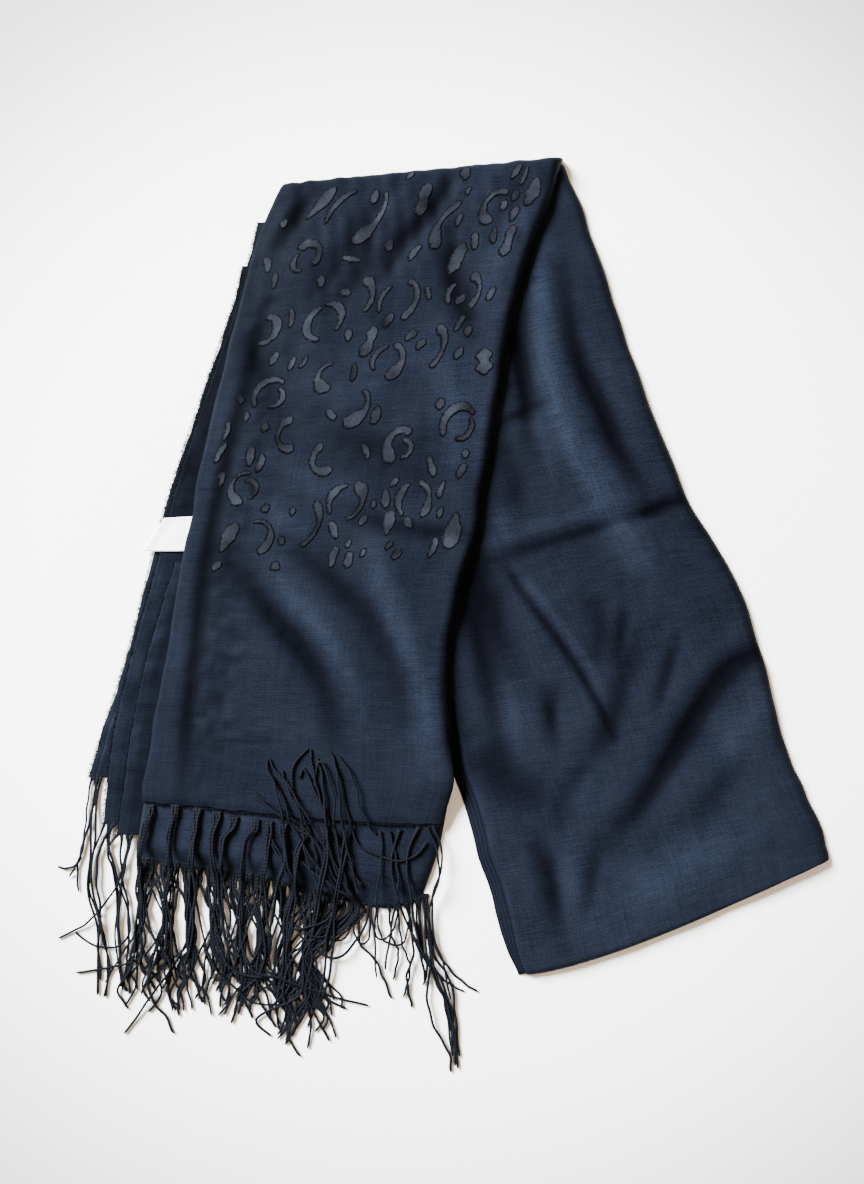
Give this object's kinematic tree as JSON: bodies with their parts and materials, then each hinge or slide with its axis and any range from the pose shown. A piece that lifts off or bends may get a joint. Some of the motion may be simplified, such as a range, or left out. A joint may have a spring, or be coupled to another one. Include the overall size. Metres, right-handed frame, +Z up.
{
  "type": "rectangular scarf",
  "caption": "Light woven rectangular scarf with raised animal-print marks, folded lengthwise, doubled and laid flat in an inverted V, with a twisted fringe at its two ends",
  "frame": {"origin": "on the surface that the scarf lies on, under the middle of its bounding box", "axes": "+Z up out of the surface; +Y along the strands, from the fringe to the top fold; +X across, from the strand with the fringes to the other one"},
  "size_m": [0.4575, 0.5555, 0.0153],
  "materials": {
    "navy_cloth": "fine light weave with slubs and a soft sheen",
    "fringe_yarn": "twisted yarn, matte and slightly fuzzy",
    "label_satin": "smooth white woven tape, bare"
  },
  "bodies": {
    "root": {"patterned_top_panel": "navy_cloth", "second_layer_end": "navy_cloth", "left_folded_layers": "navy_cloth", "right_top_panel": "navy_cloth", "right_folded_layers": "navy_cloth", "end_layer_outer": "navy_cloth", "end_layer_middle": "navy_cloth", "end_layer_inner": "navy_cloth", "label_tab": "label_satin", "fringe_top_hem_left": "fringe_yarn", "fringe_top_hem_right": "fringe_yarn", "fringe_second_hem_left": "fringe_yarn", "fringe_second_hem_right": "fringe_yarn", "fringe_flipped_up": "fringe_yarn", "fringe_end_outer": "fringe_yarn", "fringe_end_middle": "fringe_yarn", "fringe_end_inner": "fringe_yarn"}
  },
  "joints": []
}
